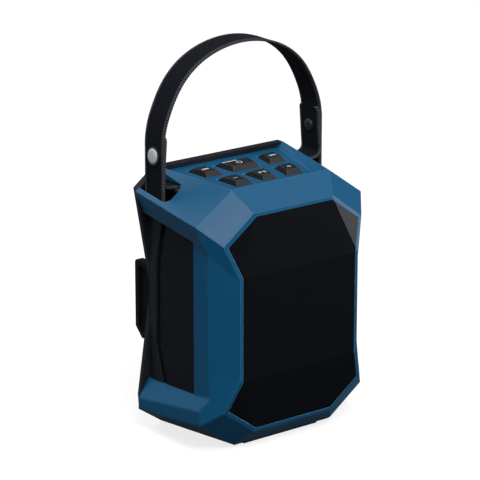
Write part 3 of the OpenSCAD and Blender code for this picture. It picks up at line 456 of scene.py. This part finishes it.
def board_finish(name):
    """Board lacquer with copper tracks under it: square rings about scattered points.

    Distance to the nearest point = the largest of its three parts, and Track = 1 where the fraction of
    TRACK_RINGS times that is over TRACK_FROM.
    """
    material, tree, shader, place = new_material(name)
    inputs = {"Vector": place, "Scale": 150.0, "Randomness": 0.7}
    cells = add(tree, "ShaderNodeTexVoronoi", inputs, feature="F1", distance="CHEBYCHEV").outputs
    rings = maths(tree, "FRACT", maths(tree, "MULTIPLY", cells["Distance"], TRACK_RINGS))
    track = maths(tree, "GREATER_THAN", rings, TRACK_FROM)
    feed(tree, shader["Base Color"], mixed(tree, track, linear("16442c"), linear("27683f")))
    feed(tree, shader["Roughness"], scaled(tree, track, gain=-0.15, lift=0.5))
    feed(tree, shader["Normal"], bumped(tree, track, strength=0.3, distance=0.05 * MM))
    return material


def ink_finish(name):
    """Pale printing ink with a fine mottle."""
    material, tree, shader, place = new_material(name, Roughness=0.6)
    mottle = noise(tree, place, scale=1800.0, detail=2.0)
    feed(tree, shader["Base Color"], mixed(tree, mottle, linear("8a8d90"), linear("bcbec0")))
    return material


# In each moulded finish the second colour is a painted highlight along its edges
shell_blue = shell_finish("shell_blue")
shell_black = moulded("shell_black", "171a1f", "34373b", rough=0.5, roundness=0.4, specular=0.06)
panel_black = moulded(
    "panel_black", "101319", "23262a", rough=0.55, grain=1500.0, depth=0.3, roundness=0.3, specular=0.05)
dock_black = moulded("dock_black", "0f1216", "3a3d41", rough=0.5, roundness=0.5, specular=0.05)
key_black = moulded(
    "key_black", "111418", "606366", rough=0.27, grain=1800.0, roundness=0.35, highlight_share=0.9, specular=0.09)
foot_rubber = moulded(
    "foot_rubber", "0c0d0e", "1c1d1e", rough=0.75, grain=1200.0, depth=0.4, roundness=0.4, specular=0.15)
soft_black = moulded(
    "soft_black", "101113", "202224", rough=0.7, grain=1500.0, depth=0.3, roundness=0.2, specular=0.2)
mat_grey = moulded("mat_grey", "2a2c30", "3a3c40", rough=0.65, roundness=0.2)
switch_grey = moulded("switch_grey", "b9bbbd", "d5d6d8", rough=0.5, roundness=0.2)
component_black = moulded("component_black", "222325", "3a3b3d", rough=0.5, roundness=0.3)
cone_paper = moulded("cone_paper", "17181a", "222426", rough=0.7, grain=900.0, depth=0.6, roundness=0.2)
ferrite = moulded("ferrite", "343436", "48484b", rough=0.6, grain=1600.0, depth=0.4, roundness=0.4)
# Near black for the painted shade in the screws' sockets
socket_shade = moulded("socket_shade", "08090a", "121314", rough=0.7, roundness=0.1, specular=0.05)
grille_coat = grille_finish("grille_coat")
backing_cloth = woven("backing_cloth", "08090a", "151618", (1800.0, 1800.0))
spider_cloth = woven("spider_cloth", "8a6228", "c79a55", (1200.0, 1200.0))
webbing_black = webbing_finish("webbing_black")
plated_steel = metal("plated_steel", "a9adb1", 0.36, stretch=(1.0, 0.08, 1.0))
coated_steel = metal("coated_steel", "2c2e31", 0.5, metallic=0.3)
nickel_cap = metal("nickel_cap", "a6a8ab", 0.5, stretch=(0.1, 1.0, 1.0), metallic=0.3, dark=0.88)
dark_button = metal("dark_button", "3a3c40", 0.42, metallic=0.8)
copper_wire = metal("copper_wire", "b06a3c", 0.35, stretch=(1.0, 12.0, 1.0))
contact_plate = metal("contact_plate", "cf9d52", 0.3, stretch=(1.0, 1.0, 0.1))
board_green = board_finish("board_green")
legend_ink = ink_finish("legend_ink")

FINISH = {
    "front_housing": shell_blue, "rear_housing": shell_black,
    "side_panel_left": panel_black, "side_panel_right": panel_black,
    "speaker_grille": grille_coat, "grille_cloth": backing_cloth,
    "driver_basket": coated_steel, "driver_gasket": soft_black, "driver_top_plate": plated_steel,
    "driver_magnet": ferrite, "driver_yoke": plated_steel, "driver_surround": soft_black,
    "driver_spider": spider_cloth, "driver_cone": cone_paper, "driver_dust_cap": cone_paper,
    "driver_voice_coil": copper_wire, "driver_screws": plated_steel,
    "key_previous": key_black, "key_power": key_black, "key_next": key_black,
    "key_volume_down": key_black, "key_play": key_black, "key_volume_up": key_black,
    "key_mat": mat_grey, "key_switches": switch_grey, "control_board": board_green,
    "control_board_screws": plated_steel, "main_board": board_green, "board_parts": component_black,
    "main_board_screws": plated_steel, "battery_dock": dock_black, "contact_block": dock_black,
    "contact_blades": contact_plate, "dock_screws": plated_steel,
    "strap_bar_left": coated_steel, "strap_bar_right": coated_steel,
    "strap_leg_left": webbing_black, "strap_leg_right": webbing_black, "strap_arch": webbing_black,
    "strap_rivets": nickel_cap, "foot_front": foot_rubber, "foot_rear": foot_rubber,
    "housing_screws": plated_steel,
}
for name, solid in nodes.items():
    solid.data.materials.clear()
    solid.data.materials.append(FINISH[name])


# Surfaces worked out as arrays

def tube_faces(rows, columns):
    """Faces of a closed tube on a grid of points: quads, the last column joined to the first, and caps."""
    i, j = np.meshgrid(np.arange(rows - 1), np.arange(columns), indexing="ij")
    k = (j + 1) % columns
    here, beyond = i * columns, (i + 1) * columns
    quads = np.stack([here + j, here + k, beyond + k, beyond + j], -1).reshape(-1, 4)
    ring = np.arange(columns)
    return quads.tolist() + [ring[::-1].tolist(), ((rows - 1) * columns + ring).tolist()]


def new_piece(name, points, faces, material, smooth=True, uv=None):
    """A mesh object at the origin from points in metres; uv holds one pair for each corner of each face."""
    mesh = bpy.data.meshes.new(name)
    mesh.from_pydata(points.tolist(), [], faces)
    mesh.polygons.foreach_set("use_smooth", np.full(len(mesh.polygons), smooth))
    if uv is not None:
        layer = mesh.uv_layers.new(name=WEBBING_UV)
        layer.data.foreach_set("uv", np.asarray(uv, np.float32).ravel())
    mesh.materials.append(material)
    mesh.update()
    piece = bpy.data.objects.new(name, mesh)
    bpy.context.scene.collection.objects.link(piece)
    return piece


# Webbing: its middle line as in the source, in millimetres; an arc is its centre's X and Z and its radius
STRAP_MID_Y = node_middle("strap_arch")[1]
ARCH = (0.0, 159.0, 63.3)
SHOULDER = (4.4, 170.165, 51.3)
BAR = (*node_middle("strap_bar_right")[[0, 2]], 2.35)
# X of a leg and of the flap inside it; height and radius of the bends below the bar; the flap's top and bend
STRAP_X, FLAP_X = 55.7, 54.3
LOWER_Z, LOWER_R = 138.1, 4.8
FLAP_TOP, FLAP_R = 175.6, 4.0
# Spacing of the points on an arc and on the finished line, and the fewest on an arc
ARC_STEP, ROUTE_STEP, ARC_LEAST = 0.2, 0.36, 8

# The legs' lean: a bow outwards at the pockets and a draw inwards at the shoulders; size, height and spread
BOW, BOW_Z, BOW_BELOW, BOW_ABOVE = 1.6, 151, 9, 13
DRAW, DRAW_Z, DRAW_SPREAD = 1.0, 193, 13
# Webbing is free to lean from this far out, or from this height up, and each of these fades in
FREE_X, FREE_X_FADE = 49, 4
FREE_Z, FREE_Z_FADE = 152, 6

# Webbing's section: points over a face and round an edge, and where a selvage begins and fades in
FACE_POINTS, EDGE_POINTS = 15, 7
SELVAGE_FROM, SELVAGE_FADE = 6.6, 0.8
# The share by which a selvage is thicker and a stitch swells it, and how far a stitch moves it sideways
SELVAGE_SWELL, STITCH_SWELL, STITCH_SWAY = 0.06, 0.1, 0.14
# Radius of the corners at the strap's ends
END_CORNER = 3.0


def arc(centre, radius, start, stop):
    """Points on a circle from one angle to another, in degrees, about ARC_STEP apart."""
    count = max(ARC_LEAST, int(abs(np.radians(stop - start)) * radius / ARC_STEP))
    turn = np.radians(np.linspace(start, stop, count))
    return np.stack([centre[0] + radius * np.cos(turn), centre[1] + radius * np.sin(turn)], 1)


def running_length(points):
    """The length along a line of points, up to each of them."""
    return np.concatenate([[0], np.cumsum(np.linalg.norm(np.diff(points, axis=0), axis=1))])


def leg_lean(x, z):
    """How far the strap leans out at a point: the bow less the draw, each a bell curve of height.

    The webbing's run to its bar, well in from the leg and low down, keeps its place.
    """
    bow = BOW * np.exp(-((z - BOW_Z) / np.where(z < BOW_Z, BOW_BELOW, BOW_ABOVE)) ** 2)
    draw = DRAW * np.exp(-((z - DRAW_Z) / DRAW_SPREAD) ** 2)
    outside = np.clip((np.abs(x) - FREE_X) / FREE_X_FADE, 0, 1)
    above = np.clip((z - FREE_Z) / FREE_Z_FADE, 0, 1)
    return np.sign(x) * (bow - draw) * np.maximum(outside, above)


def webbing_route():
    """The webbing's middle line in X and Z, from one flap's top round its bar, over the arch and back.

    The right half is drawn from arcs that meet tangentially, leans as leg_lean says and is mirrored. The
    line is then read off again at equal lengths: its points, and the length up to each.
    """
    meet = np.degrees(np.arctan2(SHOULDER[1] - ARCH[1], SHOULDER[0]))
    flap_r = SHOULDER[2] - (STRAP_X - FLAP_X)
    flap_turn = np.degrees(np.arcsin((FLAP_TOP - SHOULDER[1]) / flap_r))
    inner_x = BAR[0] - BAR[2]
    run_z = BAR[1] + BAR[2]
    right = np.concatenate([
        arc(SHOULDER, flap_r, flap_turn, 0),
        arc((FLAP_X - FLAP_R, run_z + FLAP_R), FLAP_R, 0, -90),
        arc(BAR, BAR[2], 90, 180),
        arc((inner_x + LOWER_R, LOWER_Z), LOWER_R, 180, 270),
        arc((STRAP_X - LOWER_R, LOWER_Z), LOWER_R, -90, 0),
        arc(SHOULDER, SHOULDER[2], 0, meet),
        arc(ARCH, ARCH[2], meet, 90),
    ])
    right[:, 0] += leg_lean(right[:, 0], right[:, 1])
    line = np.concatenate([right, right[-2::-1] * [-1, 1]])
    length = running_length(line)
    even = np.linspace(0, length[-1], int(length[-1] / ROUTE_STEP))
    return np.stack([np.interp(even, length, line[:, k]) for k in (0, 1)], 1), even


def webbing():
    """The woven strap: a flat section with round, serrated selvages carried along the route.

    A section point (w, t) goes to route + t times the route's normal, at y = middle + w. Near the selvages t
    and w swell by a sine of the length, one wave to a stitch. The ends round off as w shrinks on END_CORNER.
    """
    route, length = webbing_route()
    along = np.gradient(route, axis=0)
    along /= np.linalg.norm(along, axis=1)[:, None]
    normal = np.stack([along[:, 1], -along[:, 0]], 1)
    half, half_w = STRAP_T / 2, STRAP_W / 2
    flat = np.linspace(-1, 1, FACE_POINTS) * (half_w - half)
    turn = np.radians(np.linspace(90, -90, EDGE_POINTS)[1:-1])
    edge_w, edge_t = half_w - half + half * np.cos(turn), half * np.sin(turn)
    face_t = np.full(FACE_POINTS, half)
    w = np.concatenate([flat, edge_w, flat[::-1], -edge_w])
    t = np.concatenate([face_t, edge_t, -face_t, -edge_t])
    selvage = np.clip((np.abs(w) - SELVAGE_FROM) / SELVAGE_FADE, 0, 1)
    stitch = np.sin(2 * np.pi * length * MM / STITCH)[:, None]
    thick = t * (1 + selvage * (SELVAGE_SWELL + STITCH_SWELL * stitch))
    wide = w + np.sign(w) * selvage * STITCH_SWAY * stitch * np.where(t < 0, -1, 1)
    corner = np.clip(END_CORNER - np.minimum(length, length[-1] - length), 0, END_CORNER)
    trim = (half_w - END_CORNER + np.sqrt(END_CORNER ** 2 - corner ** 2)) / half_w
    wide = wide * trim[:, None]
    x = route[:, :1] + normal[:, :1] * thick
    z = route[:, 1:] + normal[:, 1:] * thick
    rows, columns = x.shape
    around = running_length(np.stack([np.append(w, w[0]), np.append(t, t[0])], 1))
    i, j = np.meshgrid(np.arange(rows - 1), np.arange(columns), indexing="ij")
    corners = [(i, j), (i, j + 1), (i + 1, j + 1), (i + 1, j)]
    on_quads = np.stack([np.stack([around[b] * MM, length[a] * MM], -1) for a, b in corners], 2)
    uv = np.concatenate([on_quads.reshape(-1, 2), np.zeros((2 * columns, 2))])
    points = metres(x, STRAP_MID_Y + wide, z)
    return new_piece("carry_webbing", points, tube_faces(rows, columns), webbing_black, uv=uv)


strap = webbing()
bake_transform(strap)
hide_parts("strap_arch", "strap_leg_left", "strap_leg_right")


# Rivets in millimetres: the leg's outer face, their height, and how far in from that face a button sits
RIVET_X, RIVET_Z, BUTTON_IN = 56.4, 163.6, 2.8
# A turned piece's points around and a dome's rings; the angle of its first ring, and its seat's inner share
TURNED_POINTS, DOME_RINGS = 40, 16
DOME_POLE, DOME_SEAT = 0.001, 0.6


def turned(name, profile, x, side, material):
    """A turned piece on a leg: the profile's (radius, reach) carried round X.

    Reach counts from x towards side, and each point leans as the leg does there.
    """
    turn = np.linspace(0, 2 * np.pi, TURNED_POINTS, endpoint=False)
    radius, reach = profile[:, :1], profile[:, 1:]
    out = x + side * (reach + 0 * turn)
    z = RIVET_Z + radius * np.sin(turn)
    points = metres(out + leg_lean(out, z), STRAP_MID_Y - side * radius * np.cos(turn), z)
    return new_piece(name, points, tube_faces(len(profile), TURNED_POINTS), material)


def dome(radius, height, base, lip, power=2.6):
    """Profile of a domed head, middle to seat: height times (1 - r^power), then a short straight lip."""
    r = np.sin(np.linspace(DOME_POLE, np.pi / 2, DOME_RINGS))
    top = np.stack([radius * r, base + lip + height * (1 - r ** power)], 1)
    return np.concatenate([top, [[radius, base], [radius * DOME_SEAT, base]]])


# A dark ring under each cap, wider than the cap
DARK_RING = dome(radius=5.4, height=0.15, base=-0.05, lip=0.2)
CAP = dome(radius=4.3, height=0.7, base=0.2, lip=0.35, power=5)
BUTTON = dome(radius=3.6, height=0.5, base=-0.05, lip=1.0)
for side, hand in ((-1, "left"), (1, "right")):
    dark_ring = turned("rivet_dark_ring_" + hand, DARK_RING, side * RIVET_X, side, dark_button)
    cap = turned("rivet_cap_" + hand, CAP, side * RIVET_X, side, nickel_cap)
    button = turned("rivet_button_" + hand, BUTTON, side * (RIVET_X - BUTTON_IN), -side, dark_button)
    for piece in (dark_ring, cap, button):
        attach(piece, "housing")
    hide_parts("strap_rivets")


# Sockets of the screws at the back, painted as flat shade, in millimetres: a pair's half pitch, its heads'
# face and its height
SCREW_HEADS = [(34.0, 77.0, 21.8), (34.0, 77.0, 126.6), (35.5, 80.0, 36.0), (35.5, 80.0, 101.0)]
SOCKET_R, SOCKET_LOBE, SOCKET_LOBES = 1.3, 0.22, 6
SOCKET_PROUD = 0.03
SOCKET_POINTS = 48


def screw_sockets():
    """Painted shade of six-lobe sockets: flat dark marks just proud of the screw heads, facing +Y: r =
    SOCKET_R + SOCKET_LOBE cos 6t.
    """
    turn = -np.arange(SOCKET_POINTS) * 2 * np.pi / SOCKET_POINTS
    lobes = SOCKET_R + SOCKET_LOBE * np.cos(SOCKET_LOBES * turn)
    heads = np.array([(side * x, y, z) for x, y, z in SCREW_HEADS for side in (-1, 1)])
    x, y, z = heads[:, :1], heads[:, 1:2], heads[:, 2:]
    points = metres(x + lobes * np.cos(turn), y + SOCKET_PROUD, z + lobes * np.sin(turn))
    faces = np.arange(len(points)).reshape(-1, SOCKET_POINTS).tolist()
    return new_piece("screw_sockets", points, faces, socket_shade, smooth=False)


sockets = screw_sockets()
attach(sockets, "housing")


# Key legends, in millimetres: the keypad floor's front edge and slope, and the keys' height above the floor
FLOOR_FRONT_Y, FLOOR_FRONT_Z = 26.5, 147.6
FLOOR_SLOPE = 2.0 / 45.5
KEY_PROUD = 2.4
# Middles of the two rows of key tops, and the keys' pitch in the rear row and in the front one
FRONT_ROW, REAR_ROW = 34.4, 55.8
REAR_PITCH, FRONT_PITCH = node_middle("key_next")[0], node_middle("key_volume_up")[0]
# How deep a legend is sunk, and how far legends and the pale strip on the power key stand proud
LEGEND_SUNK, LEGEND_PROUD, STRIP_PROUD = 0.02, 0.05, 0.1


def legend(name, shapes, x, y, body, proud=LEGEND_PROUD):
    """Flat shapes on the top of a key, about its place (x, y): each outline as a thin prism.

    Top = the keypad floor's front level + its slope times the way back + the key's height. A prism goes from
    a little below that to proud of it. Its outline is turned anticlockwise, so that faces point outwards.
    """
    points, faces, count = [], [], 0
    for shape in shapes:
        after_x, after_y = np.roll(shape, -1, axis=0).T
        if np.sum(shape[:, 0] * after_y - after_x * shape[:, 1]) < 0:
            shape = shape[::-1]
        at_x, at_y = x + shape[:, 0], y + shape[:, 1]
        top = FLOOR_FRONT_Z + FLOOR_SLOPE * (at_y - FLOOR_FRONT_Y) + KEY_PROUD
        points += [metres(at_x, at_y, top - LEGEND_SUNK), metres(at_x, at_y, top + proud)]
        n = len(shape)
        ring = np.arange(n) + count
        after = np.roll(ring, -1)
        faces += np.stack([ring, after, after + n, ring + n], 1).tolist()
        faces += [(ring + n).tolist(), ring[::-1].tolist()]
        count += 2 * n
    piece = new_piece(name, np.concatenate(points), faces, legend_ink, smooth=False)
    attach(piece, body)


def bar(cx, cy, w, h):
    """A rectangle's four corners about its middle."""
    return np.array([[-w, -h], [w, -h], [w, h], [-w, h]]) / 2 + [cx, cy]


def arrow(cx, cy, w, h):
    """A triangle that points to +X, or to -X where w is negative."""
    return np.array([[-w / 2, -h / 2], [w / 2, 0], [-w / 2, h / 2]]) + [cx, cy]


def ring_part(radius, width, start, stop, steps=20):
    """An arc of a ring as an outline: out at radius plus half the width, back at radius less half of it."""
    turn = np.radians(np.linspace(start, stop, steps + 1))
    circle = np.stack([np.cos(turn), np.sin(turn)], 1)
    return np.concatenate([circle * (radius + width / 2), circle[::-1] * (radius - width / 2)])


def skip_mark(way):
    """Two arrows and a bar that point along way times X."""
    arrows = [arrow(shift * way, 0, 1.9 * way, 2.4) for shift in (-0.9, 0.9)]
    return arrows + [bar(2.1 * way, 0, 0.45, 2.4)]


power_mark = [ring_part(radius=1.7, width=0.45, start=125, stop=415), bar(0, 1.5, 0.45, 1.9)]
play_mark = [arrow(-1.3, 0, 2.2, 2.6), bar(0.8, 0, 0.55, 2.6), bar(1.9, 0, 0.55, 2.6)]
minus_mark = [bar(0, 0, 2.8, 0.5)]
plus_mark = minus_mark + [bar(0, 0.825, 0.5, 1.15), bar(0, -0.825, 0.5, 1.15)]
strip_mark = [bar(-4.3, 3.6, 10.0, 0.7)]
legend("legend_power", power_mark, 0, REAR_ROW, "key_power_body")
legend("legend_play", play_mark, 0, FRONT_ROW, "key_play_body")
legend("legend_previous", skip_mark(-1), -REAR_PITCH, REAR_ROW, "key_previous_body")
legend("legend_next", skip_mark(1), REAR_PITCH, REAR_ROW, "key_next_body")
legend("legend_volume_down", minus_mark, -FRONT_PITCH, FRONT_ROW, "key_volume_down_body")
legend("legend_volume_up", plus_mark, FRONT_PITCH, FRONT_ROW, "key_volume_up_body")
legend("power_key_strip", strip_mark, 0, REAR_ROW, "key_power_body", proud=STRIP_PROUD)


# Floor, world and lights: what a ray off gloss sees of the floor and world, beside what the camera sees
GLOSS_SHARE = 0.05
# The floor's grey as it lights the object and as it is seen; its half width and its drop, in metres
FLOOR_DIM, FLOOR_PALE = (0.06, 0.06, 0.06, 1), (0.9, 0.9, 0.9, 1)
FLOOR_REACH, FLOOR_DROP = 6.0, 0.0002
# The glow's share of the floor near the object, and what it gains to the metre from this far away
GLOW_NEAR, GLOW_GAIN, GLOW_FROM = 0.78, 0.21, 0.4
# The world's strength as it lights the object, and what it gains where it is seen
WORLD_DIM, WORLD_GAIN = 0.12, 0.88
LAMP_AIM = np.array([0, 0, 0.1])


def seen_share(tree):
    """1 for rays from the camera and through glass, GLOSS_SHARE for those off gloss, 0 for all others."""
    path = add(tree, "ShaderNodeLightPath").outputs
    mirrored = maths(tree, "MULTIPLY", path["Is Glossy Ray"], GLOSS_SHARE)
    straight = maths(tree, "MAXIMUM", path["Is Camera Ray"], path["Is Transmission Ray"])
    return maths(tree, "MAXIMUM", straight, mirrored)


def floor_finish(name):
    """Pale floor: matt, to show shadows, mixed with a glow that grows with distance; clear from below."""
    material = bpy.data.materials.new(name)
    material.use_nodes = True
    tree = material.node_tree
    tree.nodes.clear()
    seen = seen_share(tree)
    grey = mixed(tree, seen, FLOOR_DIM, FLOOR_PALE)
    matt = add(tree, "ShaderNodeBsdfDiffuse", {"Color": grey}).outputs[0]
    glow = add(tree, "ShaderNodeEmission", {"Color": (1, 1, 1, 1), "Strength": 1.0}).outputs[0]
    place = add(tree, "ShaderNodeTexCoord").outputs["Object"]
    away = vector_maths(tree, "LENGTH", place)["Value"]
    far = maths(tree, "SUBTRACT", away, GLOW_FROM, clamp=True)
    share = maths(tree, "MULTIPLY", seen, scaled(tree, far, GLOW_GAIN, GLOW_NEAR))
    above = add(tree, "ShaderNodeMixShader", {0: share, 1: matt, 2: glow}).outputs[0]
    below = add(tree, "ShaderNodeNewGeometry").outputs["Backfacing"]
    clear = add(tree, "ShaderNodeBsdfTransparent").outputs[0]
    whole = add(tree, "ShaderNodeMixShader", {0: below, 1: above, 2: clear}).outputs[0]
    add(tree, "ShaderNodeOutputMaterial", {0: whole})
    return material


floor_points = np.array([[-1, -1, 0], [1, -1, 0], [1, 1, 0], [-1, 1, 0]]) * FLOOR_REACH - [0, 0, FLOOR_DROP]
floor = new_piece("floor", floor_points, [[0, 1, 2, 3]], floor_finish("floor_finish"), smooth=False)

world = bpy.data.worlds.new("studio")
bpy.context.scene.world = world
world.use_nodes = True
sky_tree = world.node_tree
sky_tree.nodes.clear()
sky_strength = scaled(sky_tree, seen_share(sky_tree), WORLD_GAIN, WORLD_DIM)
sky = add(sky_tree, "ShaderNodeBackground", {"Color": (1, 1, 1, 1), "Strength": sky_strength}).outputs[0]
add(sky_tree, "ShaderNodeOutputWorld", {0: sky})


def softbox(name, towards, distance, size, watts, mirrored=True):
    """A square area lamp that far from LAMP_AIM along a direction and turned to it; gloss may mirror it."""
    back = np.asarray(towards, float) / np.linalg.norm(towards)
    lamp = bpy.data.objects.new(name, bpy.data.lights.new(name, "AREA"))
    lamp.data.shape = "SQUARE"
    lamp.data.size = size
    lamp.data.energy = watts
    lamp.matrix_world = facing(back, LAMP_AIM + back * distance)
    lamp.visible_glossy = mirrored
    bpy.context.scene.collection.objects.link(lamp)


softbox("key_softbox", towards=(-0.24, -0.52, 0.82), distance=1.3, size=0.7, watts=16.5)
softbox("front_softbox", towards=(-0.163, -0.686, 0.709), distance=1.5, size=0.4, watts=9.0)
softbox("top_softbox", towards=(-0.21, 0.57, 0.80), distance=1.4, size=0.8, watts=8.5)
softbox("slope_softbox", towards=(0.60, -0.25, 0.76), distance=1.5, size=0.5, watts=4.0)
softbox("rear_softbox", towards=(0.25, 0.95, 0.2), distance=1.6, size=0.8, watts=14.0, mirrored=False)
softbox("side_softbox", towards=(-0.95, 0.25, 0.25), distance=1.6, size=0.8, watts=5.0)
softbox("fill_softbox", towards=(-0.4, -0.8, 0.3), distance=1.6, size=0.8, watts=3.0, mirrored=False)
softbox("ear_softbox", towards=(0.91, -0.41, 0.02), distance=1.5, size=0.4, watts=16.0)
softbox("ledge_softbox", towards=(-0.55, 0.80, 0.25), distance=1.5, size=0.6, watts=1.8)
bpy.context.scene.view_settings.view_transform = "Standard"
